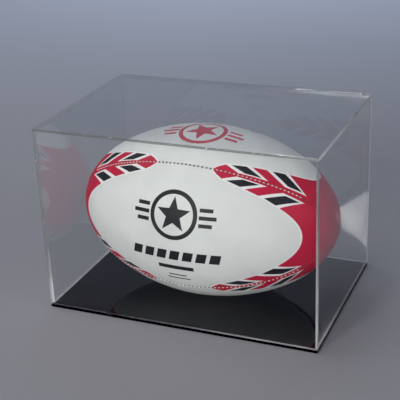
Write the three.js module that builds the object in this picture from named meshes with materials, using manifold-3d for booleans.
// A lift-off clear acrylic cover on a gloss black base plate, with the oval ball it displays.
// Millimetres, +Z up, +X along the case and +Y to its back. The origin is the middle of the underside.
import * as THREE from 'three';
import { mergeVertices } from 'three/addons/utils/BufferGeometryUtils.js';
import Module from 'manifold-3d';

const wasm = await Module();
wasm.setup();

// The case: outside sizes, the sheet it is cut from and how its edges are finished.
const CASE_WIDTH = 306;
const CASE_DEPTH = 206;
const CASE_HEIGHT = 209;
const SHEET = 3;
const EDGE_CHAMFER = 0.4;
const JOINT_GAP = 0.3;

// The ball: its outside, the walls it is built from and how it lies on the base.
const BALL_HALF_LENGTH = 147.5;
const BALL_RADIUS = 94;
const BALL_FULLNESS = 1.88; // 2 is a true ellipse; less draws the ends out to a blunt point
const PANEL_COUNT = 4;
const PANEL_WALL = 1.8;
const BLADDER_WALL = 0.6;
const BLADDER_GAP = 0.5;
const SEAM_WIDTH = 1.8;
const THREAD_RADIUS = 0.55;
const THREAD_DEPTH = 1.0; // below the ball's outside, so the panels stand proud of it
const PANEL_TIP_RADIUS = 2; // where the pointed panels stop short of the ball's axis
const THREAD_TIP_RADIUS = 8;
const BALL_CENTRE_X = 0.7;
const BALL_CENTRE_Y = -5;
const BALL_YAW = -1.9; // degrees; the right end comes forward
const BALL_ROLL = 7.2; // degrees that the front panel's middle looks up
const PANEL_SECTIONS = { long: 24, round: 40 };
const BLADDER_SECTIONS = { long: 12, round: 20 };

// The valve: a flanged rubber plug in the back panel, beside the seam above it.
const VALVE_RADIUS = 3.2;
const VALVE_FLANGE_RADIUS = 7;
const VALVE_FLANGE_THICKNESS = 1.2;
const VALVE_FLANGE_DROP = 2.2; // from the curved bladder wall down to the flat flange inside it
const VALVE_LENGTH = 14;
const VALVE_BORE_RADIUS = 0.8;
const VALVE_CLEARANCE = 0.3;
const VALVE_ANGLE = 36; // degrees round the ball from the middle of the back panel up to the valve
const VALVE_SIDES = 20;

const clearAcrylic = new THREE.MeshStandardMaterial({
  color: 0xe9eef0, roughness: 0.03, metalness: 0, transparent: true, opacity: 0.15,
});
const blackAcrylic = new THREE.MeshStandardMaterial({ color: 0x0b0c0e, roughness: 0.06, metalness: 0 });
const panelRubber = new THREE.MeshStandardMaterial({ color: 0xe4e4e0, roughness: 0.55, metalness: 0 });
const threadFibre = new THREE.MeshStandardMaterial({ color: 0xd8d6cf, roughness: 0.8, metalness: 0 });
const bladderRubber = new THREE.MeshStandardMaterial({ color: 0x2b2a29, roughness: 0.7, metalness: 0 });
const valveRubber = new THREE.MeshStandardMaterial({ color: 0x1c1c1d, roughness: 0.6, metalness: 0 });

const radians = THREE.MathUtils.degToRad;

function named(name, geometry, material) {
  const mesh = new THREE.Mesh(geometry, material);
  mesh.name = name;
  return mesh;
}

// A three.js geometry as a manifold-3d solid, and back.
function solid(geometry) {
  const bare = geometry.clone();
  bare.deleteAttribute('normal');
  bare.deleteAttribute('uv');
  const merged = mergeVertices(bare);
  return new wasm.Manifold(new wasm.Mesh({
    numProp: 3,
    vertProperties: merged.attributes.position.array,
    triVerts: new Uint32Array(merged.index.array),
  }));
}

function geometryOf(manifold) {
  const { vertProperties, triVerts } = manifold.getMesh();
  const geometry = new THREE.BufferGeometry();
  geometry.setAttribute('position', new THREE.BufferAttribute(vertProperties, 3));
  geometry.setIndex(new THREE.BufferAttribute(triVerts, 1));
  geometry.computeVertexNormals();
  return geometry;
}

// A flat sheet, centred, its thickness along Z and every edge chamfered.
function sheet(name, width, height, material) {
  const x = width / 2 - EDGE_CHAMFER;
  const y = height / 2 - EDGE_CHAMFER;
  const corners = [[-x, -y], [x, -y], [x, y], [-x, y]];
  const outline = new THREE.Shape(corners.map(([u, v]) => new THREE.Vector2(u, v)));
  const geometry = new THREE.ExtrudeGeometry(outline, {
    depth: SHEET - 2 * EDGE_CHAMFER,
    bevelEnabled: true,
    bevelSegments: 1,
    bevelSize: EDGE_CHAMFER,
    bevelThickness: EDGE_CHAMFER,
  });
  geometry.translate(0, 0, EDGE_CHAMFER - SHEET / 2);
  return named(name, geometry, material);
}

// The five clear sheets. The front and back cover the ends of the side walls, and the top covers all four.
function cover() {
  const group = new THREE.Group();
  const wallHeight = CASE_HEIGHT - 2 * SHEET - 2 * JOINT_GAP;
  const wallMiddle = SHEET + JOINT_GAP + wallHeight / 2;
  const sideLength = CASE_DEPTH - 2 * SHEET - 2 * JOINT_GAP;
  const upright = Math.PI / 2;
  for (const [name, side] of [['front_panel', -1], ['back_panel', 1]]) {
    const panel = sheet(name, CASE_WIDTH, wallHeight, clearAcrylic);
    panel.rotation.x = upright;
    panel.position.set(0, side * (CASE_DEPTH - SHEET) / 2, wallMiddle);
    group.add(panel);
  }
  for (const [name, side] of [['left_panel', -1], ['right_panel', 1]]) {
    const panel = sheet(name, wallHeight, sideLength, clearAcrylic);
    panel.rotation.y = upright;
    panel.position.set(side * (CASE_WIDTH - SHEET) / 2, 0, wallMiddle);
    group.add(panel);
  }
  const top = sheet('top_panel', CASE_WIDTH, CASE_DEPTH, clearAcrylic);
  top.position.z = CASE_HEIGHT - SHEET / 2;
  group.add(top);
  return group;
}

// The ball's half outline from one end to the other, as points (distance from its axis, place along it).
function ballOutline(inset, tipRadius, sections) {
  const length = BALL_HALF_LENGTH - inset;
  const radius = BALL_RADIUS - inset;
  const reach = Math.pow(1 - (tipRadius / radius) ** 2, 1 / BALL_FULLNESS);
  const start = Math.acos(reach);
  const points = [];
  for (let i = 0; i <= sections; i += 1) {
    const angle = start + (Math.PI - 2 * start) * i / sections;
    const along = Math.cos(angle);
    points.push(new THREE.Vector2(
      radius * Math.sqrt(1 - Math.abs(along) ** BALL_FULLNESS),
      -length * along,
    ));
  }
  return points;
}

// A thin shell of revolution along X, set in from the ball's outside and open at both ends.
function ballShell(inset, wall, sections) {
  const outer = ballOutline(inset, PANEL_TIP_RADIUS, sections.long);
  const inner = ballOutline(inset + wall, PANEL_TIP_RADIUS, sections.long).reverse();
  const geometry = new THREE.LatheGeometry([...outer, ...inner, outer[0]], sections.round);
  geometry.rotateZ(-Math.PI / 2);
  return geometry;
}

// The space of one panel: a wedge that opens towards -Y, its faces half a seam's width inside the seams.
function panelWedge() {
  const reach = 2 * BALL_RADIUS;
  const spread = reach * Math.tan(Math.PI / PANEL_COUNT);
  const tip = SEAM_WIDTH / 2 / Math.sin(Math.PI / PANEL_COUNT);
  const section = new THREE.Shape([
    new THREE.Vector2(-tip, 0),
    new THREE.Vector2(-tip - reach, -spread),
    new THREE.Vector2(-tip - reach, spread),
  ]);
  const geometry = new THREE.ExtrudeGeometry(section, { depth: 2 * BALL_HALF_LENGTH, bevelEnabled: false });
  geometry.translate(0, 0, -BALL_HALF_LENGTH);
  // The extrusion runs along Z; turn it along X, with the wedge opening towards -Y.
  geometry.rotateY(Math.PI / 2);
  geometry.rotateX(Math.PI / 2);
  return geometry;
}

// A round plug or cutter out from the ball's axis, from profile points (radius, distance from the axis).
function radialTurning(profile) {
  const points = profile.map(([radius, distance]) => new THREE.Vector2(radius, distance));
  const geometry = new THREE.LatheGeometry([...points, points[0]], VALVE_SIDES);
  geometry.rotateX(Math.PI);
  geometry.rotateX(radians(VALVE_ANGLE));
  return geometry;
}

function valveCutter() {
  const radius = VALVE_RADIUS + VALVE_CLEARANCE;
  const geometry = new THREE.CylinderGeometry(radius, radius, BALL_RADIUS, VALVE_SIDES);
  geometry.translate(0, -BALL_RADIUS, 0);
  geometry.rotateX(radians(VALVE_ANGLE));
  return geometry;
}

function valveGeometry() {
  const outer = BALL_RADIUS - VALVE_CLEARANCE;
  const inner = outer - VALVE_LENGTH;
  const flangeTop = BALL_RADIUS - PANEL_WALL - BLADDER_GAP - BLADDER_WALL - VALVE_FLANGE_DROP;
  const flangeBottom = flangeTop - VALVE_FLANGE_THICKNESS;
  return radialTurning([
    [VALVE_BORE_RADIUS, inner],
    [VALVE_RADIUS, inner],
    [VALVE_RADIUS, flangeBottom],
    [VALVE_FLANGE_RADIUS, flangeBottom],
    [VALVE_FLANGE_RADIUS, flangeTop],
    [VALVE_RADIUS, flangeTop],
    [VALVE_RADIUS, outer],
    [VALVE_BORE_RADIUS, outer],
  ]);
}

// One run of stitching thread, from end to end along the ball's -Y side.
function seamThread(name) {
  const points = ballOutline(THREAD_DEPTH, THREAD_TIP_RADIUS, PANEL_SECTIONS.long)
    .map((point) => new THREE.Vector3(point.y, -point.x, 0));
  const route = new THREE.CatmullRomCurve3(points);
  const section = new THREE.Shape();
  section.absarc(0, 0, THREAD_RADIUS, 0, 2 * Math.PI);
  const geometry = new THREE.ExtrudeGeometry(section, {
    extrudePath: route,
    steps: PANEL_SECTIONS.long,
    curveSegments: 3,
  });
  return named(name, geometry, threadFibre);
}

function ball() {
  const group = new THREE.Group();
  const turn = 2 * Math.PI / PANEL_COUNT;
  const shell = solid(ballShell(0, PANEL_WALL, PANEL_SECTIONS));
  const panelSolid = shell.intersect(solid(panelWedge()));
  const panelGeometry = geometryOf(panelSolid);
  const valveHole = solid(valveCutter());
  const valvePanelGeometry = geometryOf(panelSolid.subtract(valveHole));
  // Panels and seams in turn round the ball: a turn of -90 degrees about X lifts the front one to the top.
  ['front', 'top', 'back', 'bottom'].forEach((place, i) => {
    const geometry = place === 'back' ? valvePanelGeometry : panelGeometry;
    const panel = named(`ball_panel_${place}`, geometry, panelRubber);
    panel.rotation.x = -i * turn;
    group.add(panel);
  });
  ['front_top', 'back_top', 'back_bottom', 'front_bottom'].forEach((place, i) => {
    const thread = seamThread(`ball_seam_${place}`);
    thread.rotation.x = -(i + 0.5) * turn;
    group.add(thread);
  });
  const bladderShell = solid(ballShell(PANEL_WALL + BLADDER_GAP, BLADDER_WALL, BLADDER_SECTIONS));
  const bladder = named('ball_bladder', geometryOf(bladderShell.subtract(valveHole)), bladderRubber);
  const valve = named('ball_valve', valveGeometry(), valveRubber);
  for (const mesh of [bladder, valve]) {
    mesh.rotation.x = Math.PI; // round to the back panel
    group.add(mesh);
  }
  group.rotation.x = radians(-BALL_ROLL);
  return group;
}

const displayCase = new THREE.Group();

const base = sheet('base_plate', CASE_WIDTH, CASE_DEPTH, blackAcrylic);
base.position.z = SHEET / 2;
displayCase.add(base);
displayCase.add(cover());

const ballPlace = new THREE.Group();
ballPlace.position.set(BALL_CENTRE_X, BALL_CENTRE_Y, SHEET + JOINT_GAP + BALL_RADIUS);
ballPlace.rotation.z = radians(BALL_YAW);
ballPlace.add(ball());
displayCase.add(ballPlace);

export default displayCase;
